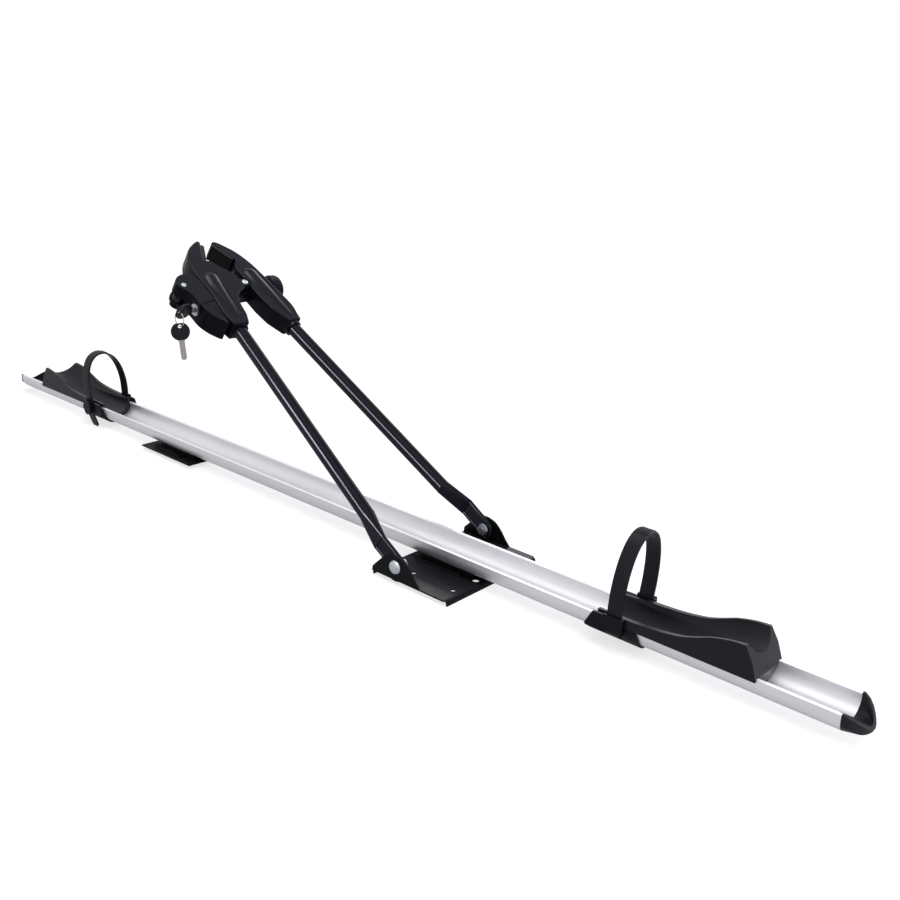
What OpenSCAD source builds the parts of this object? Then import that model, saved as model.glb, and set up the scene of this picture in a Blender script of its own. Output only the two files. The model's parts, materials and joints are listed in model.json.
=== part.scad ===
// Roof mounted bike carrier: a wheel rail on two roof bar brackets, with a
// folding twin-tube frame arm that ends in a locking clamp head.
// Frame: X along the rail towards the front wheel tray, Y across, Z up.
// Origin: centre of the front bracket's bolt holes, on the plate's underside.

/* [Rail] */
// length of the wheel rail
rail_l = 1480; // [1300:10:1500]
// width over the lips
rail_w = 56; // [50:1:64]
// depth from lip to underside
rail_h = 22.5; // [20:0.5:26]
// wall of the extrusion
rail_wall = 2.2; // [1.6:0.1:3]
// width of each inward lip
lip_w = 4.5; // [3:0.1:6]
// distance from the front bolt pattern to the rail's middle
rail_back = 270; // [240:5:320]

/* [Front bracket] */
// plate size along the rail
plate_l = 118; // [100:1:130]
// plate size across the rail
plate_w = 172; // [150:1:180]
// sheet thickness
sheet = 2; // [1.5:0.1:3]
// bolt hole spacing along the rail
bolt_dx = 62; // [50:1:70]
// bolt hole spacing across the rail
bolt_dy = 116; // [100:1:124]
// bolt hole diameter
bolt_hole = 6.6; // [5.5:0.1:8.5]

/* [Rear bracket] */
// plate size across the rail
rear_w = 78; // [70:1:100]
// plate size along the rail
rear_l = 122; // [110:1:130]
// distance between the two bracket middles
bracket_gap = 550; // [480:1:620]

/* [Arm] */
// raised angle of the arm above the rail
arm_angle = 32; // [5:1:90]
// outside diameter of each arm tube
tube_d = 19; // [18:0.5:20]
// width of the flattened tube end
flat_w = 24.5; // [20:0.5:28]
// pivot bolt shank diameter
pivot_d = 8; // [6:0.5:9]
// pivot bolt head diameter
pivot_head = 17; // [14:0.5:20]

/* [Clamp head] */
// thickness of the jaw bodies
jaw_t = 28; // [26:0.5:30]
// edge rounding of the jaw bodies
jaw_r = 3; // [2:0.5:4]
// rib pitch of the rubber pads
pad_pitch = 4.4; // [4:0.1:5.5]
// tie rod diameter
rod_d = 8; // [7:0.5:9]
// knob diameter
knob_d = 40; // [34:1:44]
// lever pin diameter
pin_d = 6.4; // [5:0.1:7]
// lock barrel diameter
lock_d = 15; // [13:0.5:17]

/* [Keys] */
// key bow diameter
bow_d = 24.6; // [22:0.2:27]
// key bow thickness
bow_t = 2.6; // [2.2:0.1:3]
// key ring diameter, wire centre
ring_d = 19; // [18:0.5:22]
// key ring wire
ring_wire = 1.3; // [1:0.1:1.5]

/* [Wheel trays] */
// tray length
tray_l = 181; // [175:1:190]
// height of the tall end above the lips
tray_h = 32; // [28:0.5:36]
// tall end of the front tray, from the rail's front end
front_inset = 84; // [60:2:160]
// tall end of the rear tray, from the rail's rear end
rear_inset = 74; // [60:2:160]
// strap width
strap_w = 17.5; // [16:0.5:20]
// strap thickness
strap_t = 2.4; // [2:0.1:3]
// loop height of the front strap above the lips
front_loop = 92; // [80:1:110]
// loop height of the rear strap above the lips
rear_loop = 85; // [75:1:110]
// pitch of the strap's ratchet teeth
tooth_pitch = 4.2; // [3:0.1:5]

/* [Hidden] */
$fn = 48;
eps = 0.01;
gap = 0.4;                 // gap between pieces that move
touch = 0.05;              // gap between pieces that only seat
saddle_t = 4;
lip_t = 2.2;
rail_z = sheet + saddle_t;             // underside of the rail
lip_z = rail_z + rail_h;               // top of the lips
rail_r = 17.5;                         // lower corner radius of the rail
flank_z = rail_z + rail_r;
rail_x0 = -rail_back - rail_l / 2;
rail_x1 = -rail_back + rail_l / 2;
cap_len = 23;

plate_x1 = 45;
plate_x0 = plate_x1 - plate_l;
plate_mid = (plate_x0 + plate_x1) / 2;
bend = 4.5;                            // outer radius of the turned-down edges
flange = 5;                            // their depth below the plate
rear_x = plate_mid - bracket_gap;
saddle_l = 80;

pivot_x = plate_x0 + 38;
pivot_z = sheet + 15;
ear_y = plate_w / 2 - sheet;           // inner face of each ear
flat_t = 5.6;                          // rims of the flattened tube end
flat_y = ear_y - gap - 0.3 - flat_t / 2;
tube_r = tube_d / 2;
tube_s0 = 76;                          // where the round tube starts
tube_s1 = 436;                         // where it ends inside the head
tube_y0 = 69.3;                        // tube centre at tube_s0
tube_y1 = 39.1;                        // tube centre at tube_s1
tube_slope = (tube_y0 - tube_y1) / (tube_s1 - tube_s0);
tube_len = sqrt(pow(tube_y0 - tube_y1, 2) + pow(tube_s1 - tube_s0, 2));
tube_yaw = atan(tube_slope);

jaw_n = jaw_t / 2;
pin_s = 483;
pin_y = -84;
rod_n = -7;
rod_yaw = 3;                           // tie rod's slant across the arm
rod_play = 2;                          // side play of the rod while the jaws spread
boss_y = 139.5;                        // end of the far jaw's boss, along the rod
eye_t = 9;
lock_s = 450;
lock_n = -0.5;
lock_rim = 0.6;                        // rim of the lock round its bore
lever_face = -81.5;                    // outer side of the lever
bow_r = bow_d / 2;
lock_blade = 16;                       // blade length of the key in the lock
bow_y = lever_face - lock_blade - 2;
bow_h = bow_d - 2.2;                   // bow length along the key
hole_off = bow_h / 2 - 4.2;            // ring hole from the bow's middle
rivet_s = 475;
rivet_y = 12;

strap_u = 157;                         // strap middle, from the tray's tall end
strap_y = 32.2;                        // strap leg middle, from the rail's middle
block_y = 35.8;
clamp_u0 = 128;
clamp_u1 = 192;

function at(pts, t) = // point on an open chain of points, t from 0 to 1
  let (n = len(pts) - 1, i = min(floor(t * n), n - 1), f = t * n - i,
       a = pts[max(i - 1, 0)], b = pts[i], c = pts[i + 1], d = pts[min(i + 2, n)])
  0.5 * (2 * b + (c - a) * f + (2 * a - 5 * b + 4 * c - d) * f * f
         + (3 * b - a - 3 * c + d) * f * f * f);
function smooth(pts, n) = [for (i = [0:n]) at(pts, i / n)];
function unit(v) = v / norm(v);
function side(p, i) = // left normal of a chain of points
  let (d = unit(p[min(i + 1, len(p) - 1)] - p[max(i - 1, 0)])) [-d[1], d[0]];
function flip(p) = [for (i = [len(p) - 1:-1:0]) p[i]];
function arc(p) = // running length of a chain of points
  [for (i = 0, s = 0; i < len(p); s = s + norm(p[min(i + 1, len(p) - 1)] - p[i]), i = i + 1) s];
function even(p, n) = // the same chain in n equal steps
  let (c = arc(p), m = len(p) - 1,
       xs = [for (j = [0:m]) [c[j], p[j][0]]], ys = [for (j = [0:m]) [c[j], p[j][1]]])
  [for (i = [0:n]) [lookup(c[m] * i / n, xs), lookup(c[m] * i / n, ys)]];

// extrude a Y-Z section along X
module along_x(x0, x1) translate([x0, 0, 0]) rotate([90, 0, 90]) linear_extrude(x1 - x0)
  children();
// extrude an X-Z section along Y
module along_y(y0, y1) translate([0, y1, 0]) rotate([90, 0, 0]) linear_extrude(y1 - y0)
  children();
// cylinder along Y
module rod_y(r, y0, y1) translate([0, y0, 0]) rotate([-90, 0, 0]) cylinder(r = r, h = y1 - y0);
// place a piece modelled with the arm lying flat towards -X from its pivot
module on_arm() translate([pivot_x, 0, pivot_z]) rotate([0, arm_angle, 0]) children();
// place a piece modelled along +s, y, n on the flat arm
module at_s(s, y = 0, n = 0) translate([-s, y, n]) children();
// put children on the axis of one arm tube, Z along the tube from the pivot
module on_tube(sgn) translate([-tube_s0, sgn * tube_y0, 0]) rotate([0, 0, sgn * tube_yaw])
  rotate([0, -90, 0]) children();

// boat shaped rail section, o smaller all round
module boat(o) {
  half = rail_w / 2 - o;
  cy = rail_w / 2 - rail_r;
  translate([-half, flank_z]) square([2 * half, lip_z - flank_z]);
  intersection() {
    for (s = [-1, 1]) translate([s * cy, flank_z]) circle(r = rail_r - o, $fn = 96);
    translate([-rail_w, flank_z - rail_w]) square([2 * rail_w, rail_w]);
  }
  translate([-cy, rail_z + o]) square([2 * cy, rail_r]);
}
module lips(extra = 0) for (s = [0, 1]) mirror([s, 0])
  translate([rail_w / 2 - lip_w - extra, lip_z - lip_t - extra])
    square([lip_w + 2 * extra, lip_t + 2 * extra]);

rivet_x = [for (x = [plate_mid, rear_x], s = [-1, 1]) x + s * (saddle_l / 2 - 8)];

module rail() color("silver") difference() {
  along_x(rail_x0, rail_x1) difference() {
    boat(0);
    difference() {
      union() {
        boat(rail_wall);
        translate([-rail_w / 2 + lip_w, lip_z - lip_t]) square([rail_w - 2 * lip_w, lip_t + 1]);
      }
      lips();
    }
  }
  for (x = rivet_x) translate([x, 0, rail_z - 1]) cylinder(d = 5.1, h = rail_wall + 2);
}

module rail_saddles() color("dimgray") for (x = [plate_mid, rear_x]) difference() {
  along_x(x - saddle_l / 2, x + saddle_l / 2) difference() {
    translate([-17, sheet]) square([34, saddle_t + 2]);
    boat(-0.02);
  }
  for (d = rivet_x) translate([d, 0, 0]) cylinder(d = 5.1, h = 12);
}

module rail_rivets() color("gainsboro") for (x = rivet_x) translate([x, 0, 0]) {
  cylinder(d = 5, h = rail_z + rail_wall + 0.2);
  translate([0, 0, rail_z + rail_wall + touch]) rotate_extrude()
    polygon([[0, 0], [5.5, 0], [5, 0.9], [3.4, 1.6], [0, 1.9]]);
}

// end cap: a boat's bow that closes the rail's end, its rim dipping to the tip
cap_rim = [[0, 1.2], [3, 0.6], [8, -2], [13, -5.6], [17, -9.5], [20, -13], [22, -15.6], [cap_len, -16.8]];
// x, drawn in from the rail's side
cap_side = [[0, 0], [3, 0.4], [8, 2.4], [13, 6.6], [17, 11.4], [20, 16], [22, 20], [cap_len, 24]];
module cap_plan(o) polygon(concat(
  [for (q = cap_side) [q[0] - (q[0] > 0 ? o : 0), rail_w / 2 - q[1] - o]],
  flip([for (q = cap_side) [q[0] - (q[0] > 0 ? o : 0), -rail_w / 2 + q[1] + o]])));
module cap_form(o) intersection() {
  translate([0, 0, rail_z - 1]) linear_extrude(rail_h + 20) cap_plan(o);
  translate([0, 0, rail_z]) rotate([0, -cap_rise, 0]) translate([0, 0, -rail_z])
    along_x(-6, cap_len + 9) union() {
    boat(o);
    translate([-rail_w / 2 + o, lip_z - 3]) square([rail_w - 2 * o, 20]);
  }
}
cap_wall = rail_wall + 0.2;
cap_rise = 11;                         // the nose climbs at this angle
tongue_w = 16;                         // tongue that lies on the rail's floor
module cap_shell() {
  difference() {
    intersection() {
      cap_form(0);
      along_y(-40, 40) polygon(concat(
        [[touch, rail_z], [cap_len - 3, rail_z + 1], [cap_len, rail_z + 3]],
        flip([for (q = cap_rim) [max(q[0], touch), lip_z + q[1]]])));
    }
    cap_form(cap_wall);
  }
  translate([-12, -tongue_w / 2, rail_z + rail_wall + touch]) cube([20, tongue_w, 2]);
}
module cap_front() color("#232428") translate([rail_x1, 0, 0]) cap_shell();
module cap_rear() color("#232428") translate([rail_x0, 0, 0]) rotate([0, 0, 180]) cap_shell();

// ear outline at the plate's edge, X-Z from the pivot: tail, crown and brace
ear_crown = smooth([[-21, 6], [-11, 13], [-3, 14.8], [5, 13.5], [14, 10], [23.5, 1.3]], 20);
ear_foot = 1.3;                        // the round foot reaches this far below the plate
module ear_outline() translate([pivot_x, pivot_z]) {
  polygon(concat([[-38, -pivot_z], [-37, -10.5]], ear_crown,
    [[30.5, -7.6], [37.5, sheet - pivot_z], [37.5, -pivot_z]]));
  intersection() {
    circle(r = pivot_z + ear_foot, $fn = 96);
    translate([-12, -pivot_z - ear_foot]) square([24, pivot_z]);
  }
}
// turned-down plate edge, X-Z from the bend's centre
module edge_section() {
  intersection() {
    difference() {
      circle(r = bend);
      circle(r = bend - sheet);
    }
    square(bend);
  }
  translate([bend - sheet, bend - sheet - flange]) square([sheet, flange - bend + sheet + eps]);
}

module bead(x0, x1, y, r = 4) { // raised stamped bead along X
  translate([x0, y, sheet]) intersection() {
    union() {
      rotate([0, 90, 0]) cylinder(r = r, h = x1 - x0);
      sphere(r = r);
      translate([x1 - x0, 0, 0]) sphere(r = r);
    }
    translate([-20, -20, -1]) cube([x1 - x0 + 40, 40, 2.8]);
  }
}

module bracket_front() color("#1b1c1f") difference() {
  union() {
    translate([plate_x0 + bend, -plate_w / 2, 0]) cube([plate_l - 2 * bend, plate_w, sheet]);
    for (s = [0, 1]) translate([plate_mid, 0, sheet - bend]) mirror([s, 0, 0])
      translate([plate_l / 2 - bend - eps, 0, 0]) along_y(-plate_w / 2 + 2, plate_w / 2 - 2) edge_section();
    for (s = [-1, 1]) {
      along_y(s > 0 ? ear_y : -ear_y - sheet, s > 0 ? ear_y + sheet : -ear_y) ear_outline();
      bead(-42, 9, s * 24);
    }
  }
  for (x = [-1, 1], y = [-1, 1]) translate([x * bolt_dx / 2, y * bolt_dy / 2, -1])
    cylinder(d = bolt_hole, h = sheet + 2);
  for (y = [-1, 1]) translate([33, y * 19, -1]) cylinder(d = 9, h = sheet + 2);
  for (x = rivet_x) translate([x, 0, -1]) cylinder(d = 5.1, h = sheet + 2);
  translate([pivot_x, 0, pivot_z]) rod_y(pivot_d / 2 + touch, -plate_w, plate_w);
}

module bracket_rear() color("#1b1c1f") difference() {
  union() {
    translate([rear_x - rear_l / 2, -rear_w / 2, 0]) cube([rear_l, rear_w, sheet]);
    // two stiffening ribs below, as deep as the front plate's edges
    for (s = [-1, 1]) translate([rear_x + s * (rear_l / 2 - 24) - sheet / 2, -rear_w / 2 + 14, -flange])
      cube([sheet, rear_w - 28, flange + eps]);
    for (s = [-1, 1]) {
      bead(rear_x - 40, rear_x + 12, s * 24);
      translate([rear_x + 22, s * 24, sheet - eps]) cylinder(d = 8, h = 2.4);
    }
  }
  for (x = rivet_x) translate([x, 0, -1]) cylinder(d = 5.1, h = sheet + 2);
}

nut_y = flat_y - flat_t / 2 - 0.7;     // outer face of the washer under the nut
module pivot_bolts() color("gainsboro") for (s = [0, 1]) mirror([0, s, 0])
  translate([pivot_x, 0, pivot_z]) {
  rod_y(pivot_d / 2, nut_y - 6, plate_w / 2 + 1);
  translate([0, plate_w / 2 + touch, 0]) rotate([-90, 0, 0]) rotate_extrude()
    polygon([[0, 0], [pivot_head / 2, 0], [pivot_head / 2, 1.4], [7.4, 3.2], [5.2, 4.6],
             [2.6, 5.3], [0, 5.5]]);
}
module pivot_nuts() color("gainsboro") for (s = [0, 1]) mirror([0, s, 0])
  translate([pivot_x, 0, pivot_z]) difference() {
    union() {
      rod_y(7.6, nut_y - 1.2, nut_y);
      translate([0, nut_y - 5, 0]) rotate([-90, 0, 0]) cylinder(r = 7, h = 4, $fn = 6);
    }
    rod_y(pivot_d / 2 + touch, nut_y - 20, nut_y + 1);
  }

// one arm tube: round tube, cranked neck and flattened end with rolled rims
swage = 0.2;                           // the formed neck stands this proud
tube_wall = 1.5;
module tube(sgn, hole_r) difference() {
  union() {
    on_tube(sgn) cylinder(r = tube_r, h = tube_len, $fn = 64);
    hull() {
      on_tube(sgn) cylinder(r = tube_r + swage, h = 1);
      translate([-37, sgn * flat_y, 0]) rotate([90, 0, -90]) linear_extrude(1) flat_section(-swage);
    }
    intersection() {
      translate([flat_w / 2 + 1, sgn * flat_y, 0]) rotate([90, 0, -90])
        linear_extrude(flat_w / 2 + 39.2) flat_section();
      along_y(-100, 100) union() {
        circle(d = flat_w, $fn = 64);
        translate([-60, -flat_w / 2]) square([60, flat_w]);
      }
    }
  }
  rod_y(hole_r, -100, 100);
  on_tube(sgn) translate([0, 0, 6]) cylinder(r = tube_r - tube_wall, h = tube_len);
}
module flat_section(o = 0) {
  rim = flat_t / 2;
  for (k = [-1, 1]) translate([0, k * (flat_w / 2 - rim)]) circle(r = rim - o);
  translate([-1.9 + o, -flat_w / 2 + rim]) square([3.8 - 2 * o, flat_w - 2 * rim]);
}
module tube_far() color("#141416") on_arm() tube(1, pivot_d / 2 + 0.3);
module tube_near() color("#141416") on_arm() tube(-1, pivot_d / 2 + 0.3);

// outlines of the two jaw halves on the arm plane, as [s, y]
far_jaw_pts = concat(
  smooth([[559.5, 11.2], [562.5, 14], [560.5, 19.8], [552, 27.5], [537, 38.5], [515, 47], [495, 51],
          [470, 54], [441, 57.5], [420, 59], [404, 56]], 30),
  [[392, 54], [392, 33], [402, 28], [417, 21], [441, 17], [462, 16.5], [486, 16.5],
   [504, 15.5], [514, 20.5], [523, 28.5]]);
near_jaw_pts = concat(
  smooth([[562, -6.5], [566.5, -8.5], [564, -16], [554, -30.5], [542, -41], [528, -48.5], [511, -52.5],
          [496, -53.8], [481, -53], [464, -52.6], [446, -55], [427, -57.5], [412, -57]], 36),
  [[400, -54.5], [400, -31], [406, -28]],
  smooth([[418, -23], [436, -20], [447, -16], [455, -10], [460, -3], [464.5, 6]], 10),
  [[469, 9], [481, 9], [490, 8], [497, 5.5], [507.5, -3], [517, -10], [525, -16], [527.5, -23.3]]);

module on_rod() at_s(pin_s, pin_y, rod_n) rotate([0, 0, -rod_yaw]) children();
module plan(pts) polygon([for (p = pts) [-p[0], p[1]]]);

// jaw half: rounded body, raised sleeve ridge and tube socket
module jaw_body(pts, sgn, mouth) {
  minkowski() {
    translate([0, 0, -jaw_n + jaw_r]) linear_extrude(jaw_t - 2 * jaw_r)
      offset(delta = -jaw_r) plan(pts);
    sphere(r = jaw_r, $fn = 16);
  }
  hull() {
    at_s(492, sgn * 33.5, 3) scale([1, 1.05, 1]) sphere(r = 14.6, $fn = 40);
    at_s(mouth + 17, sgn * (tube_y0 - tube_slope * (mouth + 17 - tube_s0)), 1.4)
      sphere(r = 13.4, $fn = 40);
  }
  on_tube(sgn) translate([0, 0, mouth - tube_s0]) cylinder(r1 = 12.2, r2 = 13, h = 40, $fn = 64);
}
module jaw_cuts(sgn, line_y) {
  on_tube(sgn) translate([0, 0, -20])
    cylinder(r = tube_r + touch, h = tube_len + 21, $fn = 64);
  // engraved line along the top
  translate([-486, sgn * line_y, 13.2]) rotate([0, 0, sgn * tube_yaw]) rotate([0, 89, 0])
    cylinder(r = 1.5, h = 74);
}
// seat plane of a pad: inner jaw face from its heel to its tip
far_seat = [[524, 27.6], [559, 11.2]];
near_seat = [[529, 22.5], [559.5, 7.7]];
pad_t = 5;                             // pad thickness to the rib tops

module jaw_far() color("#26272b") on_arm() difference() {
  union() {
    jaw_body(far_jaw_pts, 1, 389);
    on_rod() rod_y(13, boss_y - 11, boss_y);
    translate([-486, 3.6, -jaw_n]) cube([22, 16, jaw_n + 3]);
  }
  jaw_cuts(1, 45);
  on_rod() translate([-rod_d / 2 - rod_play, 60, -rod_d / 2 - 0.8])
    cube([rod_d + 2 * rod_play, 110, rod_d + 1.6]);
  // pocket over the near jaw's ear and open slot for its guide rivet
  at_s(rivet_s, rivet_y, 3.4) cylinder(r = 8, h = 30);
  translate([-rivet_s - 30, -12, 3.4]) cube([60, 27.5, 30]);
  translate([0, 0, -jaw_n - 1]) linear_extrude(30) plan([
    [rivet_s - 3.2, rivet_y], [rivet_s + 3.2, rivet_y],
    [rivet_s + 7, rivet_y - 10], [rivet_s + 7, -12], [rivet_s - 3.2, -12]]);
  at_s(rivet_s, rivet_y, -jaw_n - 1) cylinder(r = 3.2, h = 30);
}
module jaw_near() color("#26272b") on_arm() difference() {
  union() {
    jaw_body(near_jaw_pts, -1, 400);
    hull() {
      at_s(rivet_s, rivet_y, 4.2) cylinder(r = 6.4, h = jaw_n - 4.2);
      at_s(rivet_s, 0, 4.2) translate([-9, -1, 0]) cube([18, 2, jaw_n - 4.2]);
    }
  }
  jaw_cuts(-1, 25.8);
  // open channel under the body for the tie rod
  on_rod() translate([-9.5, 14, -jaw_n - 1 - rod_n])
    cube([19, 96, jaw_n + 1 + rod_n + rod_d / 2 + 0.8]);
  // room for the far jaw's ledge below the ear
  translate([-500, 2.6, -jaw_n - 1]) cube([50, 30, jaw_n + 5]);
  at_s(rivet_s, rivet_y, 0) cylinder(r = 2.5 + touch, h = 30);
}
module pad_shape(seat) { // ribbed pad on a jaw's inner face
  run = seat[1] - seat[0];
  pad_len = norm(run);
  pad_dir = atan2(run[1], run[0]);
  n = floor((pad_len - 2) / pad_pitch);
  base = pad_t - 1.6;
  at_s(seat[0][0], seat[0][1], 0) rotate([0, 0, -pad_dir])
    translate([-pad_len + 1, -base - touch, -jaw_n + 1.6]) {
    cube([pad_len - 2, base, jaw_t - 3.2]);
    for (i = [0:n - 1]) translate([pad_pitch * (i + 0.6), 0, 0])
      cylinder(r = 1.6, h = jaw_t - 3.2, $fn = 24);
  }
}
module pad_far() color("#0e0e0f") on_arm() pad_shape(far_seat);
module pad_near() color("#0e0e0f") on_arm() mirror([0, 1, 0]) pad_shape(near_seat);

module jaw_rivet() color("gainsboro") on_arm() at_s(rivet_s, rivet_y, 0) {
  translate([0, 0, -3]) cylinder(r = 2.5, h = jaw_n + 3.2);
  translate([0, 0, jaw_n + touch]) rotate_extrude()
    polygon([[0, 0], [4.4, 0], [3.9, 0.9], [2.2, 1.6], [0, 1.8]]);
}

module tie_rod() color("#3a3a3d") on_arm() on_rod() difference() {
  union() {
    rod_y(rod_d / 2, 5, boss_y + 18.5);
    translate([0, 0, -eye_t / 2]) cylinder(r = 8.4, h = eye_t);
  }
  translate([0, 0, -20]) cylinder(d = pin_d + 2 * touch, h = 40);
}
module knob() color("#202125") on_arm() on_rod() translate([0, boss_y + 0.5, 0])
  rotate([-90, 0, 0]) difference() {
  k = knob_d / 2;
  rotate_extrude($fn = 96) polygon([[0, 0], [12.5, 0], [13.5, 2.5], [k - 2, 5], [k, 7.5], [k, 16],
    [k - 1.2, 19.5], [k - 4, 22], [k - 7, 23.2], [k - 10, 23], [0, 22]]);
  translate([0, 0, -1]) cylinder(r = rod_d / 2 + rod_play, h = 21);
  for (a = [0:36:359]) rotate([0, 0, a]) translate([k + 3, 0, -1])
    cylinder(r = 3.8, h = 30, $fn = 32);
}

lever_pts = concat(
  smooth([[497, -58.5], [501.5, -64], [503, -73], [500.5, -82], [494.5, -90], [487, -93.5], [479, -91],
          [471.5, -85.5], [462, -82.2], [450, lever_face], [438, lever_face + 0.3],
          [427, -78.5], [416, -72.5], [407, -65]], 36),
  [[404.5, -61.5], [427, -60], [446, -57.3], [464, -55], [481, -55.4], [490, -56.5]]);
module lever() color("#292a2e") on_arm() difference() {
  union() {
    translate([0, 0, -jaw_n - 2]) linear_extrude(jaw_t + 2.4) plan(lever_pts);
    at_s(pin_s, pin_y, -21) cylinder(r = 9.4, h = 9);
    translate([-pin_s, pin_y - 6, -19.5]) cube([20, 14, 8]);
  }
  // slot for the eye of the tie rod, open towards the jaws
  translate([-520, -120, rod_n - eye_t / 2 - gap]) cube([49, 90, eye_t + 2 * gap]);
  at_s(pin_s, pin_y, -40) cylinder(d = pin_d + 2 * touch, h = 80);
  at_s(lock_s, 0, lock_n) rod_y(lock_d / 2 + touch, -100, lever_face + 19);
  at_s(lock_s, 0, lock_n) rod_y(lock_d / 2 + lock_rim + touch, -100, lever_face);
  // stepped rib mark on the top face
  translate([-446, -77, jaw_n - 0.8]) rotate([0, 0, 8]) cube([1.4, 20, 4]);
  translate([-436, -66, jaw_n - 0.8]) rotate([0, 0, 11]) cube([20, 1.2, 4]);
}
module lever_pin() color("gainsboro") on_arm() at_s(pin_s, pin_y, 0) {
  translate([0, 0, -20.5]) cylinder(d = pin_d, h = jaw_n + 21.2);
  translate([0, 0, jaw_n + 0.5]) rotate_extrude()
    polygon([[0, 0], [3.6, 0], [3.1, 0.7], [1.6, 1.1], [0, 1.2]]);
}
module lock_barrel() color("silver") on_arm() at_s(lock_s, 0, lock_n) difference() {
  union() {
    rod_y(lock_d / 2, lever_face - 1.1, lever_face + 18);
    rod_y(lock_d / 2 + lock_rim, lever_face - 1.1, lever_face - touch);
  }
  translate([-1.3, lever_face - 5, -4.3]) cube([2.6, 20, 8.6]);
}

// key bow: flat round head with a raised middle and a ring hole
neck = 1.6;
module bow() difference() {
  intersection() {
    union() {
      cylinder(r = bow_r, h = bow_t, center = true, $fn = 64);
      translate([0, -3, 0]) cylinder(r = 6.4, h = bow_t + 2.4, center = true);
    }
    cube([2 * bow_d, bow_h, 20], center = true);
  }
  translate([0, hole_off, 0]) cylinder(r = 2.4, h = 20, center = true);
}
module blade(l) difference() {
  union() {
    translate([-4.2, -bow_h / 2 - neck, -1.3]) cube([8.4, neck - touch, 2.6]);
    translate([-3.7, -bow_h / 2 - neck - l, -1.05]) cube([7.4, l + eps, 2.1]);
    translate([0, -bow_h / 2 - neck - l, -1.05]) cylinder(r = 3.7, h = 2.1, $fn = 32);
  }
  for (s = [-1, 1]) translate([-0.9, -bow_h / 2 - neck - l - 5, s > 0 ? 0.45 : -2.45])
    cube([1.8, l + 2, 2]);
}
// key in the lock: bow plane holds the lock's axis and the arm's normal
module in_lock() on_arm() at_s(lock_s, bow_y, lock_n) rotate([0, 90, 180]) children();
module lock_key_bow() color("#1d1e22") in_lock() bow();
module lock_key_blade() color("silver") in_lock() blade(lock_blade);

// ring and spare key hang straight down from the lock key's ring hole
hole_x = pivot_x - lock_s * cos(arm_angle) + lock_n * sin(arm_angle);
hole_z = pivot_z + lock_s * sin(arm_angle) + lock_n * cos(arm_angle);
hole_y = bow_y - hole_off;
module key_ring() color("silver") translate([hole_x, hole_y, hole_z - ring_d / 2])
  rotate([90, 0, 0]) rotate_extrude($fn = 96) translate([ring_d / 2, 0])
  circle(d = ring_wire, $fn = 24);
spare_yaw = 54;                        // turn of the hanging key about the vertical
spare_lean = 6;                        // its lean on the ring
module hanging() translate([hole_x, hole_y, hole_z - ring_d]) rotate([0, 0, spare_yaw])
  rotate([90, 0, 0]) rotate([0, 0, spare_lean]) translate([0, -hole_off, 0]) children();
module spare_key_bow() color("#1d1e22") hanging() bow();
module spare_key_blade() color("silver") hanging() blade(22);

// wheel tray, tall end at x = 0 and reaching towards -X
top_edge = [[-14, tray_h], [-30, tray_h - 1.5], [-49, tray_h - 6], [-64, tray_h - 12],
  [-80, tray_h - 17.6], [-97, tray_h - 20.8], [-114, tray_h - 22.8], [-133, tray_h - 24],
  [-151, tray_h - 24.6], [-tray_l, tray_h - 26]];
wheel_r = 360;
// ring of the tyre's outside: r across, big outer radius, lowest at x and z
module tire(r, big, x, z) translate([x, 0, lip_z + z + big]) rotate([90, 0, 0])
  rotate_extrude(angle = 360, $fn = 180) translate([big - r, 0]) circle(r = r, $fn = 64);
module tray() difference() {
  intersection() {
    along_y(-40, 40) polygon(concat([[-3, rail_z], [1.5, lip_z - 1], [-5, lip_z + 17]],
      [for (p = smooth(top_edge, 36)) [p[0], lip_z + p[1]]], [[-tray_l, rail_z]]));
    along_x(-tray_l - 1, 12) difference() {
      union() {
        intersection() {
          boat(rail_wall + gap);
          translate([-40, 0]) square([80, lip_z - lip_t - gap]);
        }
        translate([-rail_w / 2 + lip_w + gap, lip_z - 6])
          square([rail_w - 2 * lip_w - 2 * gap, 60]);
        polygon([[-30.5, lip_z - 2.6], [30.5, lip_z - 2.6],
          [29, lip_z + tray_h + 1], [-29, lip_z + tray_h + 1]]);
      }
      for (s = [0, 1]) mirror([s, 0]) {
        translate([rail_w / 2 - lip_w - gap, lip_z - lip_t - gap])
          square([lip_w + 2 * gap, lip_t + 2 * gap]);
      }
    }
  }
  tire(22, wheel_r, -165, -17);
  tire(27, wheel_r - 25, -135, -8);
  // inboard end: the side walls stop short of the trough
  for (s = [0, 1]) mirror([0, s, 0]) translate([-tray_l - 1, rail_w / 2 - 1.8, lip_z - 8])
    cube([30, 20, 60]);
}

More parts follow.
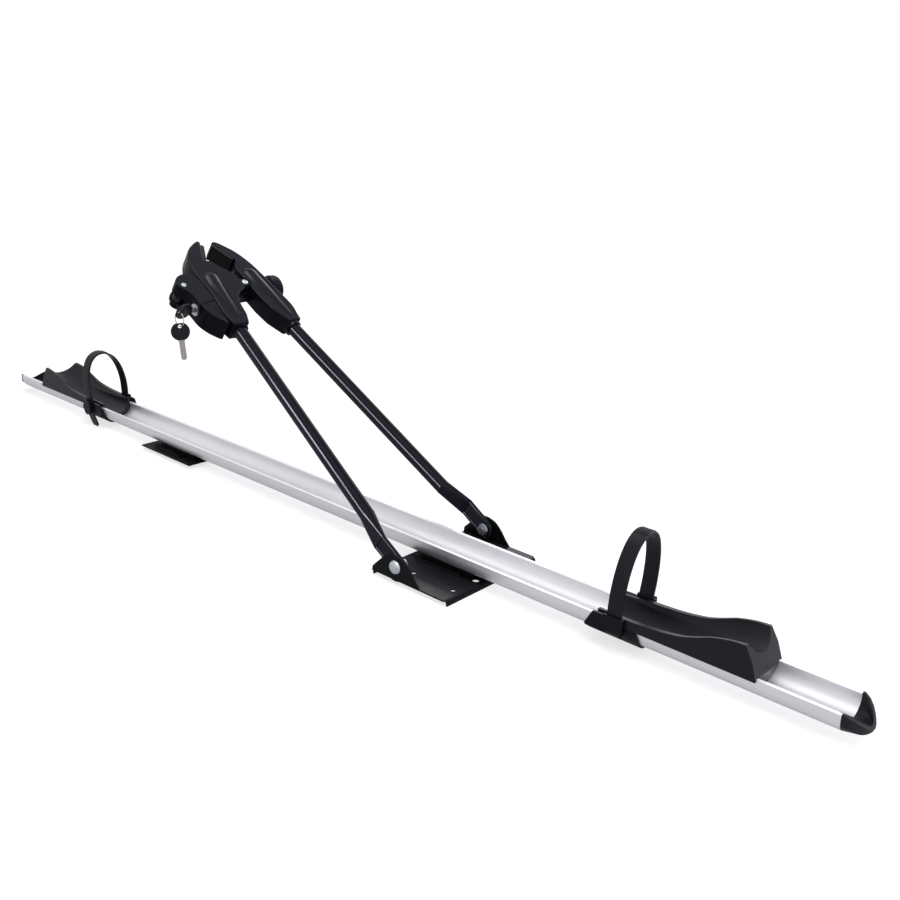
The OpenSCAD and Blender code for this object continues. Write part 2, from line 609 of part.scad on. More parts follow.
// rail clamp under the tray with the strap's two side blocks
module clamp() difference() {
  union() {
    intersection() {
      along_x(-clamp_u1, -clamp_u0) difference() {
        boat(-2.8);
        boat(-gap);
      }
      along_y(-50, 50) polygon([[-clamp_u0 - 4, lip_z - 2.8], [-clamp_u0, lip_z - 12], [-clamp_u0, -10],
        [-clamp_u1, -10], [-clamp_u1, lip_z - 14], [-clamp_u1 + 5, lip_z - 2.8]]);
    }
    for (s = [0, 1]) mirror([0, s, 0]) {
      // ramped side block and the strap keeper in front of it
      along_y(30.6, 33.8) polygon([[-146, lip_z + 3], [-146, lip_z - 14], [-clamp_u1 + 2, lip_z - 14],
        [-clamp_u1, lip_z - 12], [-clamp_u1 + 9, lip_z + 5], [-clamp_u1 + 16, lip_z + 5.5],
        [-150, lip_z + 5.5]]);
      along_y(33, block_y) translate([-168.5, lip_z - 9]) square([23.5, 17]);
    }
  }
  for (s = [-1, 1]) translate([-strap_u - strap_w / 2 - 0.3, s * strap_y - strap_t / 2 - 0.4, lip_z - 60])
    cube([strap_w + 0.6, strap_t + 0.8, 100]);
  // bore for the strap's anchor pin
  translate([0, -strap_y, lip_z - 9]) rotate([0, -90, 0]) cylinder(d = 2.1, h = 300);
}

// moulded strap: anchored at -Y, over the wheel, ratchet teeth and tail at +Y
tail = 12;                             // lean of the loose tail along the rail
module strap_path(h, rib) {
  k = h / 92;
  base = [[-strap_y, -12.5], [-strap_y, -2], [-strap_y + 0.4, 10], [-30.2, 32 * k],
    [-25.8, 52 * k], [-18.5, 70 * k], [-8, 84 * k], [5.5, 91.6 * k], [18.5, 91 * k],
    [29, 82.5 * k], [35, 67 * k], [37.2, 48 * k], [36, 26 * k], [strap_y + 0.8, 9],
    [strap_y, -2], [strap_y, -12.5]];
  n = 4 * floor(290 * (1 + k) / 2 / tooth_pitch);
  p = even(smooth(base, 200), n);
  t = strap_t / 2;
  polygon(concat(
    [for (i = [0:n]) p[i] + side(p, i) * (t + (p[i][0] > 4 && p[i][1] > 9 && i % 4 < 2 ? rib : 0))],
    flip([for (i = [0:n]) p[i] - side(p, i) * t])));
}
module strap(h) translate([-strap_u, 0, lip_z]) difference() {
  union() {
    along_x(-strap_w / 2, strap_w / 2) strap_path(h, 0.9);
    // loose tail below the ratchet, leaning along the rail to a blunt point
    along_y(strap_y - strap_t / 2, strap_y + strap_t / 2) polygon([
      [-strap_w / 2, -11], [strap_w / 2, -11],
      [strap_w / 2 - 1, -15], [strap_w / 2 - tail, -30], [strap_w / 2 - tail - 5, -32.5],
      [-strap_w / 2 - tail + 4, -31.5], [-strap_w / 2 - tail + 2, -28.5], [-strap_w / 2, -14.4]]);
  }
  translate([-20, -strap_y, -9]) rotate([0, 90, 0]) cylinder(d = 2.1, h = 40);
}
module strap_pin() translate([-strap_u - 17, -strap_y, lip_z - 9]) rotate([0, 90, 0])
  cylinder(d = 2, h = 28);

// ratchet release tab, hinged at its upper edge on the +Y block
tab_y = block_y + gap;
tab_z = lip_z + 6;
module tab() translate([-strap_u, tab_y, tab_z]) {
  along_y(0, 3.4) union() {
    translate([-9, -12]) square([18, 13]);
    translate([0, -12]) circle(r = 9);
  }
  translate([-9, 3, 0]) rotate([0, 90, 0]) cylinder(r = 2.6, h = 18);
}

module front_tray_at() translate([rail_x1 - front_inset, 0, 0]) children();
module rear_tray_at() translate([rail_x0 + rear_inset, 0, 0]) rotate([0, 0, 180]) children();
module tray_front() color("#2c2d31") front_tray_at() tray();
module clamp_front() color("#232428") front_tray_at() clamp();
module strap_front() color("#2a2b30") front_tray_at() strap(front_loop);
module tab_front() color("#1f2024") front_tray_at() tab();
module strap_pin_front() color("gainsboro") front_tray_at() strap_pin();
module tray_rear() color("#2c2d31") rear_tray_at() tray();
module clamp_rear() color("#232428") rear_tray_at() clamp();
module strap_rear() color("#2a2b30") rear_tray_at() strap(rear_loop);
module tab_rear() color("#1f2024") rear_tray_at() tab();
module strap_pin_rear() color("gainsboro") rear_tray_at() strap_pin();

rail();
rail_saddles();
rail_rivets();
cap_front();
cap_rear();
bracket_front();
bracket_rear();
pivot_bolts();
pivot_nuts();
tray_front();
clamp_front();
strap_front();
tab_front();
strap_pin_front();
tray_rear();
clamp_rear();
strap_rear();
tab_rear();
strap_pin_rear();
tube_far();
jaw_far();
pad_far();
tube_near();
jaw_near();
pad_near();
jaw_rivet();
tie_rod();
knob();
lever();
lever_pin();
lock_barrel();
lock_key_bow();
lock_key_blade();
key_ring();
spare_key_bow();
spare_key_blade();
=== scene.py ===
# %% [markdown]
# # A roof mounted bike carrier
# The carrier is a long aluminium channel on two coated plates. A pair of black tubes folds up from the
# front plate and ends in a clamp for the bicycle's down tube, with a lever, a lock and two keys. Two
# moulded trays with ladder straps hold the wheels. The CAD model gives every piece its size and place,
# and this lesson gives each one its surface: rounded moulded edges, real straps and real finishes.

# %% Load the frame
import json
import math

import bmesh
import bpy
from mathutils import Matrix, Vector


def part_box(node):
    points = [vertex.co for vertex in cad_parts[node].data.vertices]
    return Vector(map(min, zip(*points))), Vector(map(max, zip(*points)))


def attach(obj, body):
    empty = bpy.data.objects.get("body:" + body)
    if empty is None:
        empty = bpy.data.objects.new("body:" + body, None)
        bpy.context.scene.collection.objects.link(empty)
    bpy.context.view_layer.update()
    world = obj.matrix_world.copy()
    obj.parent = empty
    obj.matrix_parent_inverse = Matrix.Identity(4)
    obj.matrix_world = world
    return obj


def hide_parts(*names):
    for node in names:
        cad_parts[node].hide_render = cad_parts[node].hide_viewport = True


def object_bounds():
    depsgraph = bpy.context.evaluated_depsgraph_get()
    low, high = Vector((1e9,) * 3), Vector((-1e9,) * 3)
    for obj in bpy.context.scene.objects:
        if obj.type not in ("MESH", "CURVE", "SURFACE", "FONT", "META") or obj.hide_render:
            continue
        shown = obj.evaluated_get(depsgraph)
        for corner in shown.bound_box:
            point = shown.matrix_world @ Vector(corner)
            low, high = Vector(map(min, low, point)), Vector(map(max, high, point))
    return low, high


MM = 0.001
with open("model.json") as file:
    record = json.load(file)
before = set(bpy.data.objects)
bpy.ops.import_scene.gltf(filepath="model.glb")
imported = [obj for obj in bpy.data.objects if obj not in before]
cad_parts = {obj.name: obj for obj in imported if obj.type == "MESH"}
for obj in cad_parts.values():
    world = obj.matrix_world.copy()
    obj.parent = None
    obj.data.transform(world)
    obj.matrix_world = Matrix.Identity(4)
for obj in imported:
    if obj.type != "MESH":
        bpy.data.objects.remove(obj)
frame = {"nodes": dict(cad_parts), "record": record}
nodes = frame["nodes"]
cad_box = [list(corner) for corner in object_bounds()]
body_of = {n: body for body, held in frame["record"]["behaviour"]["bodies"].items() for n in held}
slot_of = {s["node"]: s["material_slot"] for s in frame["record"]["subparts"]}
print("frame box in metres:", cad_box)

# %% [markdown]
# ## The camera
# The photograph was taken from in front of the carrier and above it, with a normal lens. A camera can be
# aimed with a constraint, but plain turning angles are easier to read: a heading about Z, a pitch below
# the horizon and a small roll. The place and angles were found by matching the rail's corners.

# %% Camera
CAMERA_PLACE = (0.70514, -0.88539, 0.54478)
HEADING, PITCH, ROLL = -39.846, -19.217, 3.195
LENS_MM, SENSOR_MM = 41.096, 36.0
FAR_CLIP = 200.0

camera_data = bpy.data.cameras.new("camera")
camera_data.lens = LENS_MM
camera_data.sensor_width = SENSOR_MM
camera_data.clip_end = FAR_CLIP
camera = bpy.data.objects.new("camera", camera_data)
turn = (Matrix.Rotation(math.radians(-HEADING), 4, "Z")
        @ Matrix.Rotation(math.radians(90 + PITCH), 4, "X")
        @ Matrix.Rotation(math.radians(ROLL), 4, "Z"))
camera.matrix_world = Matrix.Translation(CAMERA_PLACE) @ turn
bpy.context.scene.collection.objects.link(camera)
bpy.context.scene.camera = camera
bpy.context.scene.view_settings.view_transform = "Standard"
print("camera at", CAMERA_PLACE)

# %% [markdown]
# ## Colours and nodes
# Colours are written the way a picture editor shows them, as sRGB hex, and shaders want linear light, so
# one function converts. A second small function adds a shader node, sets its values and links its inputs.

# %% Colour and node helpers
# a Mix node's colour sockets go by number, because its other kinds use the same names
COLOUR_A, COLOUR_B, COLOUR_OUT = 6, 7, 2


def linear(hexcode):
    """An sRGB hex colour as linear RGBA."""
    parts = [int(hexcode[i:i + 2], 16) / 255 for i in (1, 3, 5)]
    return [p / 12.92 if p <= 0.04045 else ((p + 0.055) / 1.055) ** 2.4 for p in parts] + [1.0]


def add(tree, kind, inputs=None, **settings):
    """Adds one node. Each input is a value, or a socket to link from."""
    made = tree.nodes.new(kind)
    for name, value in settings.items():
        setattr(made, name, value)
    for name, value in (inputs or {}).items():
        if isinstance(value, bpy.types.NodeSocket):
            tree.links.new(value, made.inputs[name])
        else:
            made.inputs[name].default_value = value
    return made


def finish(name, **sockets):
    """A new material with one Principled shader, and the object coordinates its patterns read."""
    material = bpy.data.materials.new(name)
    material.use_nodes = True
    tree = material.node_tree
    shader = tree.nodes["Principled BSDF"]
    for socket, value in sockets.items():
        shader.inputs[socket.replace("_", " ")].default_value = value
    where = add(tree, "ShaderNodeTexCoord").outputs["Object"]
    return material, tree, shader, where


def per_metre(size_mm):
    """Texture scale that gives a pattern one feature every size_mm."""
    return 1.0 / (size_mm * MM)


# %% [markdown]
# ## White studio
# The photograph has a white surround with no horizon. A white world alone would light the black plastic
# far too flatly, so the world is white to the camera and in reflections, and dimmer as a lamp. The floor
# is a grey plane that takes the soft shadow. It adds white of its own for the camera, and less of it in
# reflections, so that the lower half of the rail stays grey.

# %% World and floor
AMBIENT = 0.33
FLOOR_WHITE, FLOOR_MIRRORED = 0.72, 0.28
FLOOR_HALF = 60.0

world = bpy.data.worlds.new("studio")
bpy.context.scene.world = world
world.use_nodes = True
sky = world.node_tree
path = add(sky, "ShaderNodeLightPath")
seen = add(sky, "ShaderNodeMath", {0: path.outputs["Is Camera Ray"], 1: path.outputs["Is Glossy Ray"]},
           operation="MAXIMUM")
seen = add(sky, "ShaderNodeMath", {0: seen.outputs[0], 1: path.outputs["Is Transmission Ray"]},
           operation="MAXIMUM")
level = add(sky, "ShaderNodeMapRange", {"Value": seen.outputs[0], "To Min": AMBIENT, "To Max": 1.0})
sky.nodes["Background"].inputs["Color"].default_value = (1.0, 1.0, 1.0, 1.0)
sky.links.new(level.outputs["Result"], sky.nodes["Background"].inputs["Strength"])

floor_finish, tree, shader, where = finish("studio_floor_paint", Base_Color=linear("#bdbdc1"), Roughness=0.9,
                                           Specular_IOR_Level=0.1)
path = add(tree, "ShaderNodeLightPath")
mirrored = add(tree, "ShaderNodeMath", {0: path.outputs["Is Glossy Ray"], 1: FLOOR_MIRRORED},
               operation="MULTIPLY")
glow = add(tree, "ShaderNodeMath", {0: path.outputs["Is Camera Ray"], 1: FLOOR_WHITE, 2: mirrored.outputs[0]},
           operation="MULTIPLY_ADD")
shader.inputs["Emission Color"].default_value = (1.0, 1.0, 1.0, 1.0)
tree.links.new(glow.outputs[0], shader.inputs["Emission Strength"])

bm = bmesh.new()
bmesh.ops.create_grid(bm, x_segments=1, y_segments=1, size=FLOOR_HALF)
bmesh.ops.translate(bm, verts=bm.verts, vec=(0, 0, cad_box[0][2]))
floor_mesh = bpy.data.meshes.new("studio_floor")
bm.to_mesh(floor_mesh)
bm.free()
floor_mesh.materials.append(floor_finish)
floor = bpy.data.objects.new("studio_floor", floor_mesh)
bpy.context.scene.collection.objects.link(floor)
print("floor at", round(cad_box[0][2] / MM, 2), "mm")

# %% [markdown]
# ## Lamps
# Gloss black tubes only look round when something bright is reflected in them. A broad soft sun lights
# everything evenly, a box on the left for each tube gives it one long streak, a box behind puts a sheen in
# the wheel trays, and a box on the right brings out their end faces. A tube is so thin that it shrinks what
# it mirrors to a hair, so the two boxes are wide. Each lies where the view ray goes after it bounces off
# its tube. A box above does the same for the rounded edges of the clamp head and the front plate. A studio
# flag would keep such a box off the other pieces: light linking does that here.

# %% Lamps
def softbox(name, place, aim, size, power, long_side=(1, 0, 0)):
    """A rectangular area lamp that faces the point aim, with its first size along long_side."""
    data = bpy.data.lights.new(name, "AREA")
    data.shape = "RECTANGLE"
    data.size, data.size_y = size
    data.energy = power
    lamp = bpy.data.objects.new(name, data)
    back = (Vector(place) - Vector(aim)).normalized()
    side = Vector(long_side)
    side = (side - back * side.dot(back)).normalized()
    turn = Matrix((side, back.cross(side), back)).transposed().to_4x4()
    lamp.matrix_world = Matrix.Translation(place) @ turn
    bpy.context.scene.collection.objects.link(lamp)
    return lamp


SUN_STRENGTH, SUN_SPREAD_DEG = 0.65, 40
SUN_WAY = (-0.35, 0.25, -1.0)
MIDDLE = (-0.25, 0.0, 0.1)             # the middle of the carrier, where the boxes aim

sun_data = bpy.data.lights.new("broad_sun", "SUN")
sun_data.energy = SUN_STRENGTH
sun_data.angle = math.radians(SUN_SPREAD_DEG)
sun = bpy.data.objects.new("broad_sun", sun_data)
sun.rotation_euler = Vector(SUN_WAY).to_track_quat("-Z", "Y").to_euler()
bpy.context.scene.collection.objects.link(sun)
softbox("top_box", (-0.25, -0.1, 1.9), MIDDLE, (2.0, 0.9), 5)
softbox("back_box", (-0.55, 1.7, 1.0), MIDDLE, (2.2, 0.45), 8)
softbox("right_box", (2.0, 0.1, 0.8), (0.1, 0.0, 0.05), (1.0, 1.2), 16, (0, 1, 0))
tubes_only = bpy.data.collections.new("lit_by_the_strips")
for strip in (softbox("near_tube_strip", (-0.842, -1.167, 1.017), (-0.25, -0.05, 0.15), (0.6, 0.28), 40,
                      (-0.845, 0.32, 0.43)),
              softbox("far_tube_strip", (-0.46, -1.34, 0.64), (-0.25, 0.05, 0.15), (1.0, 0.42), 105,
                      (-0.864, 0.10, 0.49))):
    strip.light_linking.receiver_collection = tubes_only
edges_only = bpy.data.collections.new("lit_by_the_edge_box")
edge_box = softbox("edge_box", (-0.45, -0.2, 1.5), (-0.42, 0.0, 0.28), (0.9, 0.4), 20)
edge_box.light_linking.receiver_collection = edges_only

# %% [markdown]
# ## Drawn aluminium
# The rail is extruded and left with a satin finish. Drawing it through the die leaves fine lines along
# its length. A stretched noise gives them: coarse along X and fine across. The lines are about half a
# millimetre apart here, wider than real, so that they show in the picture.

# %% Finish: drawn aluminium
DIE_LINE_MM, CLOUD_MM = 0.5, 45
ALONG = 0.012                          # scale of the lines along the rail, against that across it

rail_alloy, tree, shader, where = finish("drawn_aluminium", Metallic=1.0)
stretch = add(tree, "ShaderNodeMapping", {"Vector": where, "Scale": (ALONG, 1.0, 1.0)})
lines = add(tree, "ShaderNodeTexNoise", {"Vector": stretch.outputs[0], "Scale": per_metre(2 * DIE_LINE_MM),
                                         "Detail": 3.0, "Roughness": 0.6})
cloud = add(tree, "ShaderNodeTexNoise", {"Vector": where, "Scale": per_metre(CLOUD_MM), "Detail": 2.0})
both = add(tree, "ShaderNodeMath", {0: lines.outputs["Fac"], 1: cloud.outputs["Fac"]}, operation="ADD")
rough = add(tree, "ShaderNodeMapRange", {"Value": both.outputs[0], "From Min": 0.6, "From Max": 1.4,
                                         "To Min": 0.44, "To Max": 0.58})
tree.links.new(rough.outputs["Result"], shader.inputs["Roughness"])
tone = add(tree, "ShaderNodeMix", {0: lines.outputs["Fac"], COLOUR_A: linear("#dddde1"),
                                   COLOUR_B: linear("#eaeaed")}, data_type="RGBA")
tree.links.new(tone.outputs[COLOUR_OUT], shader.inputs["Base Color"])
bump = add(tree, "ShaderNodeBump", {"Height": lines.outputs["Fac"], "Strength": 0.06, "Distance": 0.02 * MM})
tree.links.new(bump.outputs[0], shader.inputs["Normal"])

# %% [markdown]
# ## Moulded plastics
# The trays, clamps, jaws, lever and caps are injection moulded in black nylon. The mould is spark eroded,
# which leaves a fine pebbled grain, and the melt leaves slow changes of gloss. One function makes the
# family, because the pieces differ only in tone, gloss and grain. Their reflections carry a painted blue
# tint, which also dims them. The real grain is near 0.2 mm: it is drawn at about three times that so that
# it can show at all.

# %% Finish: moulded plastics
# a painted blue reflection: it tints and dims what the plastics and coatings mirror
PAINTED_BLUE_REFLECTION = "#d0d3e0"
FLOW_MM = 38


def moulded(name, dark, light, gloss, grain_mm, relief_mm, specular):
    """Pebbled mould grain over a slow change of tone and gloss."""
    # the reflections take the painted blue tint
    material, tree, shader, where = finish(name, Specular_IOR_Level=specular, Specular_Tint=linear(PAINTED_BLUE_REFLECTION))
    grain = add(tree, "ShaderNodeTexNoise", {"Vector": where, "Scale": per_metre(grain_mm), "Detail": 2.0,
                                             "Roughness": 0.55})
    flow = add(tree, "ShaderNodeTexNoise", {"Vector": where, "Scale": per_metre(FLOW_MM), "Detail": 3.0,
                                            "Distortion": 0.6})
    tone = add(tree, "ShaderNodeMix", {0: flow.outputs["Fac"], COLOUR_A: linear(dark),
                                       COLOUR_B: linear(light)}, data_type="RGBA")
    tree.links.new(tone.outputs[COLOUR_OUT], shader.inputs["Base Color"])
    rough = add(tree, "ShaderNodeMapRange", {"Value": grain.outputs["Fac"], "From Min": 0.3, "From Max": 0.7,
                                             "To Min": gloss - 0.05, "To Max": gloss + 0.06})
    tree.links.new(rough.outputs["Result"], shader.inputs["Roughness"])
    bump = add(tree, "ShaderNodeBump", {"Height": grain.outputs["Fac"], "Strength": 0.35,
                                        "Distance": relief_mm * MM})
    tree.links.new(bump.outputs[0], shader.inputs["Normal"])
    return material


tray_plastic = moulded("charcoal_nylon_tray", "#18181b", "#212125", 0.36, 0.7, 0.05, 0.28)
clamp_plastic = moulded("black_nylon_clamp", "#101116", "#17181f", 0.40, 0.6, 0.05, 0.16)
head_plastic = moulded("glass_filled_nylon_head", "#0a0b10", "#111219", 0.26, 0.6, 0.03, 0.09)
cap_plastic = moulded("black_plastic_cap", "#1c1c20", "#26262b", 0.38, 0.6, 0.04, 0.22)
saddle_plastic = moulded("black_plastic_saddle", "#101113", "#18191c", 0.50, 0.6, 0.05, 0.2)
strap_rubber = moulded("flexible_strap_urethane", "#16161b", "#1e1e24", 0.33, 0.9, 0.03, 0.26)
key_plastic = moulded("smooth_key_plastic", "#101114", "#18191d", 0.24, 0.8, 0.01, 0.35)

# %% [markdown]
# ## Soft rubber
# The pads in the jaws are soft black rubber, duller than the plastic round them.

# %% Finish: soft rubber
SPECK_MM = 1.2

pad_rubber, tree, shader, where = finish("soft_rubber_pad", Specular_IOR_Level=0.25)
speck = add(tree, "ShaderNodeTexNoise", {"Vector": where, "Scale": per_metre(SPECK_MM), "Detail": 4.0})
tone = add(tree, "ShaderNodeMix", {0: speck.outputs["Fac"], COLOUR_A: linear("#08080a"),
                                   COLOUR_B: linear("#141416")}, data_type="RGBA")
tree.links.new(tone.outputs[COLOUR_OUT], shader.inputs["Base Color"])
rough = add(tree, "ShaderNodeMapRange", {"Value": speck.outputs["Fac"], "To Min": 0.66, "To Max": 0.84})
tree.links.new(rough.outputs["Result"], shader.inputs["Roughness"])

# %% [markdown]
# ## Black coatings
# The tubes have a gloss powder coat and the plates a thinner satin dip coat. Powder melts into a faintly
# wavy skin, the orange peel, a few millimetres from wave to wave. It bends the long highlights a little.

# %% Finish: black coatings
DRIFT_MM = 30


def coated(name, dark, light, gloss, peel_mm, relief_mm, specular):
    """Paint over steel: even colour, a wavy skin and a slow change of gloss."""
    # the reflections take the same painted blue tint as the plastics
    material, tree, shader, where = finish(name, Specular_IOR_Level=specular, Specular_Tint=linear(PAINTED_BLUE_REFLECTION))
    peel = add(tree, "ShaderNodeTexNoise", {"Vector": where, "Scale": per_metre(peel_mm), "Detail": 1.0})
    drift = add(tree, "ShaderNodeTexNoise", {"Vector": where, "Scale": per_metre(DRIFT_MM), "Detail": 3.0})
    tone = add(tree, "ShaderNodeMix", {0: drift.outputs["Fac"], COLOUR_A: linear(dark),
                                       COLOUR_B: linear(light)}, data_type="RGBA")
    tree.links.new(tone.outputs[COLOUR_OUT], shader.inputs["Base Color"])
    rough = add(tree, "ShaderNodeMapRange", {"Value": drift.outputs["Fac"], "From Min": 0.3, "From Max": 0.7,
                                             "To Min": gloss - 0.03, "To Max": gloss + 0.05})
    tree.links.new(rough.outputs["Result"], shader.inputs["Roughness"])
    bump = add(tree, "ShaderNodeBump", {"Height": peel.outputs["Fac"], "Strength": 0.3,
                                        "Distance": relief_mm * MM})
    tree.links.new(bump.outputs[0], shader.inputs["Normal"])
    return material


tube_coat = coated("gloss_black_powder_coat", "#050508", "#09090d", 0.12, 3.0, 0.004, 0.07)
bracket_coat = coated("satin_black_dip_coat", "#0c0d0f", "#141518", 0.24, 2.0, 0.012, 0.11)

# %% [markdown]
# ## Plated steel
# Bolts, rivets and the lock are zinc plated, with a cool blue-white tone in small cloudy crystals. The tie
# rod has a dark steel tone. The key blades and the ring are nickel plated, smoother and warmer.

# %% Finish: plated steel
FOG_MM = 4


def plated(name, dark, light, low, high, crystal_mm):
    """A metal plate whose tone and gloss change from crystal to crystal."""
    material, tree, shader, where = finish(name, Metallic=1.0)
    crystal = add(tree, "ShaderNodeTexVoronoi", {"Vector": where, "Scale": per_metre(crystal_mm)})
    fog = add(tree, "ShaderNodeTexNoise", {"Vector": where, "Scale": per_metre(FOG_MM), "Detail": 3.0})
    blend = add(tree, "ShaderNodeMath", {0: crystal.outputs["Distance"], 1: fog.outputs["Fac"]},
                operation="MULTIPLY")
    tone = add(tree, "ShaderNodeMix", {0: fog.outputs["Fac"], COLOUR_A: linear(dark),
                                       COLOUR_B: linear(light)}, data_type="RGBA")
    tree.links.new(tone.outputs[COLOUR_OUT], shader.inputs["Base Color"])
    rough = add(tree, "ShaderNodeMapRange", {"Value": blend.outputs[0], "From Max": 0.5,
                                             "To Min": low, "To Max": high})
    tree.links.new(rough.outputs["Result"], shader.inputs["Roughness"])
    return material


zinc_steel = plated("bright_zinc_plate", "#a9aeb6", "#cfd3d9", 0.22, 0.38, 0.8)
# the tie rod gets a dark steel tone; it sits deep in the lever's slot
rod_steel = plated("dark_rod_steel", "#232325", "#39393c", 0.34, 0.5, 0.8)
key_steel = plated("nickel_plate", "#9c9390", "#c6bfbb", 0.14, 0.26, 0.6)
finishes = {"rail_alloy": rail_alloy, "saddle_plastic": saddle_plastic, "zinc_steel": zinc_steel,
            "rod_steel": rod_steel, "cap_plastic": cap_plastic, "bracket_coat": bracket_coat,
            "tray_plastic": tray_plastic, "clamp_plastic": clamp_plastic, "strap_rubber": strap_rubber,
            "tube_coat": tube_coat, "head_plastic": head_plastic, "pad_rubber": pad_rubber,
            "key_plastic": key_plastic, "key_steel": key_steel}
for name, node in nodes.items():
    node.data.materials.clear()
    node.data.materials.append(finishes[slot_of[name]])
print("finishes:", len(finishes))

# %% [markdown]
# ## Rounded moulded edges
# No moulded or pressed piece has a knife edge, and a rounded edge is what catches the light. A Bevel
# modifier on the CAD node would work, but its loose triangles bevel badly. So each such piece is a copy:
# the triangles are merged, flat areas are dissolved back into whole faces, and only the sharp edges are
# bevelled. The copy takes the place of its node and rides on the same body.

# %% Rounded copies of the nodes
SAME_POINT = 0.002 * MM
FLAT_DEG, CREASE_DEG, SMOOTH_DEG = 0.5, 38.0, 40.0
BEVEL_STEPS = 2


def place(name, bm, body, slot):
    """Makes a bmesh into a piece that rides on a body, with the finish of a slot."""
    mesh = bpy.data.meshes.new(name)
    bm.to_mesh(mesh)
    bm.free()
    mesh.shade_smooth()
    mesh.set_sharp_from_angle(angle=math.radians(SMOOTH_DEG))
    mesh.materials.append(finishes[slot])
    made = bpy.data.objects.new(name, mesh)
    bpy.context.scene.collection.objects.link(made)
    weigh = made.modifiers.new("flat_faces_stay_flat", "WEIGHTED_NORMAL")
    weigh.keep_sharp = True
    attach(made, body)
    return made


def sharp_edges(bm, crease_deg):
    """The edges between two faces that meet at more than an angle."""
    return [e for e in bm.edges
            if len(e.link_faces) == 2 and e.calc_face_angle(0.0) > math.radians(crease_deg)]


def round_over(bm, edges, width_mm):
    """Rounds edges over with a narrow bevel."""
    bmesh.ops.bevel(bm, geom=edges, offset=width_mm * MM, offset_type="OFFSET", segments=BEVEL_STEPS,
                    profile=0.5, affect="EDGES", clamp_overlap=True, material=-1)


def rounded(node, width_mm):
    """A copy of a CAD node with its sharp edges rounded over, in place of the node."""
    bm = bmesh.new()
    bm.from_mesh(nodes[node].data)
    bmesh.ops.remove_doubles(bm, verts=bm.verts, dist=SAME_POINT)
    bmesh.ops.dissolve_limit(bm, angle_limit=math.radians(FLAT_DEG), verts=bm.verts, edges=bm.edges)
    sharp = sharp_edges(bm, CREASE_DEG)
    if width_mm:
        round_over(bm, sharp, width_mm)
    made = place(node + "_rounded", bm, body_of[node], slot_of[node])
    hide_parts(node)
    print(made.name, len(made.data.polygons), "faces,", len(sharp), "edges rounded")
    return made


ROUNDING_MM = {"tray_front": 1.1, "tray_rear": 1.1, "clamp_front": 0.6, "clamp_rear": 0.6, "tab_front": 0.8,
               "tab_rear": 0.8, "lever": 1.2, "knob": 0.8, "cap_front": 0.4, "cap_rear": 0.4, "bracket_front": 0.5,
               "bracket_rear": 0.5, "lock_key_bow": 0.5, "spare_key_bow": 0.5, "jaw_far": 0.0, "jaw_near": 0.0,
               "tube_far": 0.0, "tube_near": 0.0, "rail": 0.3, "pad_far": 0.3, "pad_near": 0.3}
HEAD_PIECES = ("jaw_far", "jaw_near", "lever", "knob", "pad_far", "pad_near", "bracket_front")
for node, width in ROUNDING_MM.items():
    made = rounded(node, width)
    if node.startswith("tube"):
        tubes_only.objects.link(made)
    if node in HEAD_PIECES:
        edges_only.objects.link(made)

# %% [markdown]
# ## Ladder straps
# Each wheel is held by a flat urethane strap: plain where it leaves its anchor, and with ladder ribs over
# the top and down into the ratchet, where a loose tail hangs out. A curve with a bevel profile could give
# the band but not the ribs. Here a cross section is drawn along the loop by extruding and turning its end
# face step by step. Every other face on the ribbed stretch is then raised, and the sharp edges are rounded.

# %% Ladder straps
STRAP_W, STRAP_T, EDGE_BAND = 17.5 * MM, 2.4 * MM, 1.5 * MM
RIB_PITCH, RIB_RISE, RIB_DRAFT = 4.2 * MM, 0.9 * MM, 0.74
STRAP_CREASE_DEG, STRAP_ROUNDING_MM = 30.0, 0.22
FULL_LOOP, LOWER_LOOP = 92.0, 85.0     # height in mm of the front and the rear loop
FINE = 600
# ribs start this far across, just past the top, and end above the ratchet
RIB_START, RIB_END = 2 * MM, 9 * MM
# across and up, in mm from the rail's middle and the top of its lips, for the taller loop
LOOP = [(-32.2, -12.5), (-32.2, -2), (-31.8, 10), (-30.2, 32), (-25.8, 52), (-18.5, 70), (-8, 84), (5.5, 91.6),
        (18.5, 91), (29, 82.5), (35, 67), (37.2, 48), (36, 26), (33, 9), (32.2, -2), (32.2, -12.5)]
STRAIGHT_MM = 30.0                     # points lower than this keep their height in the lower loop
# the loose tail: along the rail, up, and the width kept
TAIL = [(-1.5, -16, 1.0), (-6.5, -22, 1.0), (-11.5, -28.5, 0.96), (-13.2, -31.8, 0.62)]


def on_chain(chain, t):
    """The point at t, from 0 to 1, on a smooth curve through a chain of points."""
    last = len(chain) - 1
    i = min(int(t * last), last - 1)
    f = t * last - i
    a, b, c, d = (chain[min(max(j, 0), last)] for j in (i - 1, i, i + 1, i + 2))
    return 0.5 * (2 * b + (c - a) * f + (2 * a - 5 * b + 4 * c - d) * f ** 2 + (3 * b - a - 3 * c + d) * f ** 3)


def even_steps(points, step):
    """The same path in equal steps, as near to the asked step as its length allows."""
    run = [0.0]
    for a, b in zip(points, points[1:]):
        run.append(run[-1] + (b - a).length)
    count = round(run[-1] / step)
    path, j = [], 0
    for i in range(count + 1):
        goal = run[-1] * i / count
        while j < len(points) - 2 and run[j + 1] < goal:
            j += 1
        path.append(points[j].lerp(points[j + 1], (goal - run[j]) / (run[j + 1] - run[j])))
    return path


def drawn_out(bm, face, keep=False):
    """Extrudes an end face in place and gives the new end. The old face goes, unless it closes the start."""
    made = bmesh.ops.extrude_face_region(bm, geom=[face])["geom"]
    if not keep:
        bmesh.ops.delete(bm, geom=[face], context="FACES_ONLY")
    return next(g for g in made if isinstance(g, bmesh.types.BMFace))


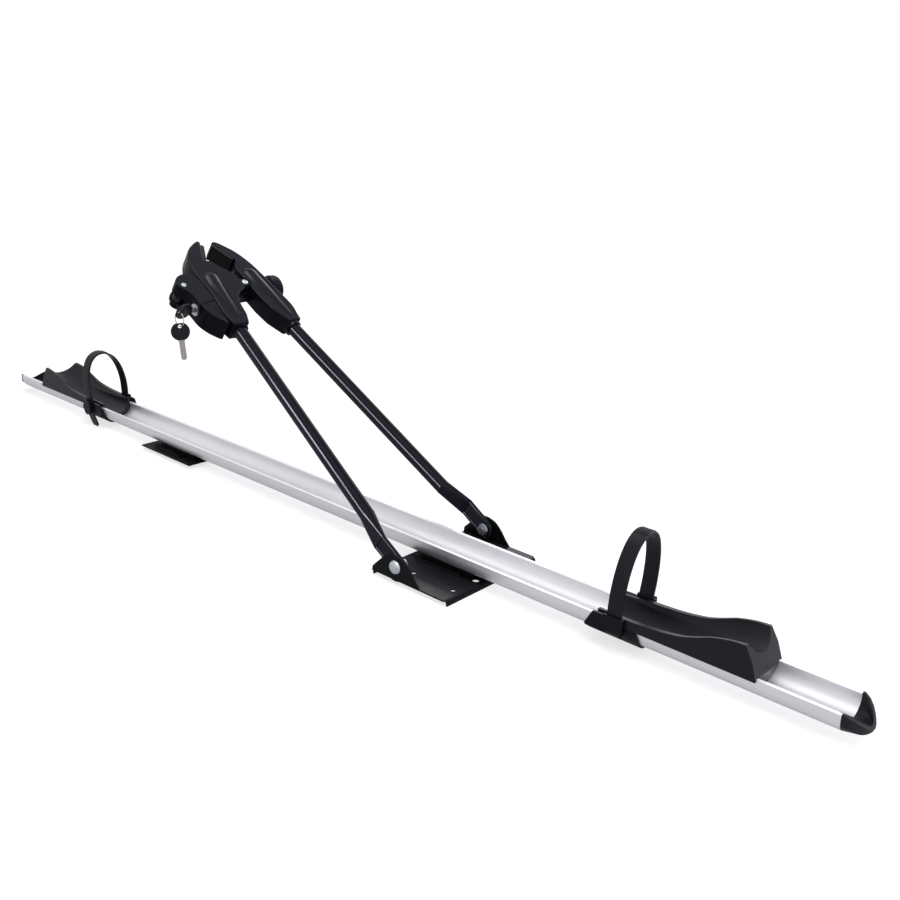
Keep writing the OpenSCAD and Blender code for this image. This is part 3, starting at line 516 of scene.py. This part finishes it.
def strap(holder, loop_mm, turned):
    """Sweeps one strap round its loop, raises the ribs and rounds the edges."""
    low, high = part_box("tab_" + holder)
    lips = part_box("rail")[1].z
    seat = Matrix.Translation(((low.x + high.x) / 2, 0, lips)) @ Matrix.Rotation(math.pi * turned, 4, "Z")
    shrink = loop_mm / FULL_LOOP
    chain = [Vector((0, y, z * (shrink if z > STRAIGHT_MM else 1.0))) * MM for y, z in LOOP]
    loop = even_steps([on_chain(chain, i / FINE) for i in range(FINE + 1)], RIB_PITCH / 2)
    last = len(loop) - 1
    bm = bmesh.new()
    across = [-STRAP_W / 2, -STRAP_W / 2 + EDGE_BAND, STRAP_W / 2 - EDGE_BAND, STRAP_W / 2]
    ring = [bm.verts.new(loop[0] + Vector((x, -STRAP_T / 2, 0))) for x in across]
    ring += [bm.verts.new(loop[0] + Vector((x, STRAP_T / 2, 0))) for x in reversed(across)]
    end = bm.faces.new(ring)
    heading, ribs = math.pi / 2, []
    for i in range(1, last + 1):
        way = loop[min(i + 1, last)] - loop[i - 1]
        new_heading = math.atan2(way.z, way.y)
        end = drawn_out(bm, end, keep=i == 1)
        move = (Matrix.Translation(loop[i]) @ Matrix.Rotation(new_heading - heading, 4, "X")
                @ Matrix.Translation(-loop[i - 1]))
        bmesh.ops.transform(bm, matrix=move, verts=end.verts)
        heading = new_heading
        if loop[i].y > RIB_START and loop[i].z > RIB_END and i % 2 == 0:
            outward = Vector((0, -math.sin(heading), math.cos(heading)))
            sides = [f for e in end.edges for f in e.link_faces if f is not end]
            spot = loop[i] + outward * STRAP_T / 2
            ribs.append(min(sides, key=lambda f: (f.calc_center_median() - spot).length))
    for along, up, width in TAIL:
        end = drawn_out(bm, end)
        centre = end.calc_center_median()
        goal = Vector((along * MM, centre.y, up * MM))
        bmesh.ops.translate(bm, verts=end.verts, vec=goal - centre)
        bmesh.ops.scale(bm, verts=end.verts, vec=(width, 1, 1), space=Matrix.Translation(-goal))
    bmesh.ops.recalc_face_normals(bm, faces=bm.faces)
    for rib in bmesh.ops.extrude_discrete_faces(bm, faces=ribs)["faces"]:
        centre = rib.calc_center_median()
        bmesh.ops.scale(bm, verts=rib.verts, vec=(1.0, RIB_DRAFT, RIB_DRAFT), space=Matrix.Translation(-centre))
        bmesh.ops.translate(bm, verts=rib.verts, vec=rib.normal * RIB_RISE)
    round_over(bm, sharp_edges(bm, STRAP_CREASE_DEG), STRAP_ROUNDING_MM)
    bmesh.ops.transform(bm, matrix=seat, verts=bm.verts)
    made = place("ladder_strap_" + holder, bm, holder + "_holder", "strap_rubber")
    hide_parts("strap_" + holder)
    print(made.name, len(ribs), "ribs,", len(made.data.polygons), "faces")


strap("front", FULL_LOOP, 0)
strap("rear", LOWER_LOOP, 1)
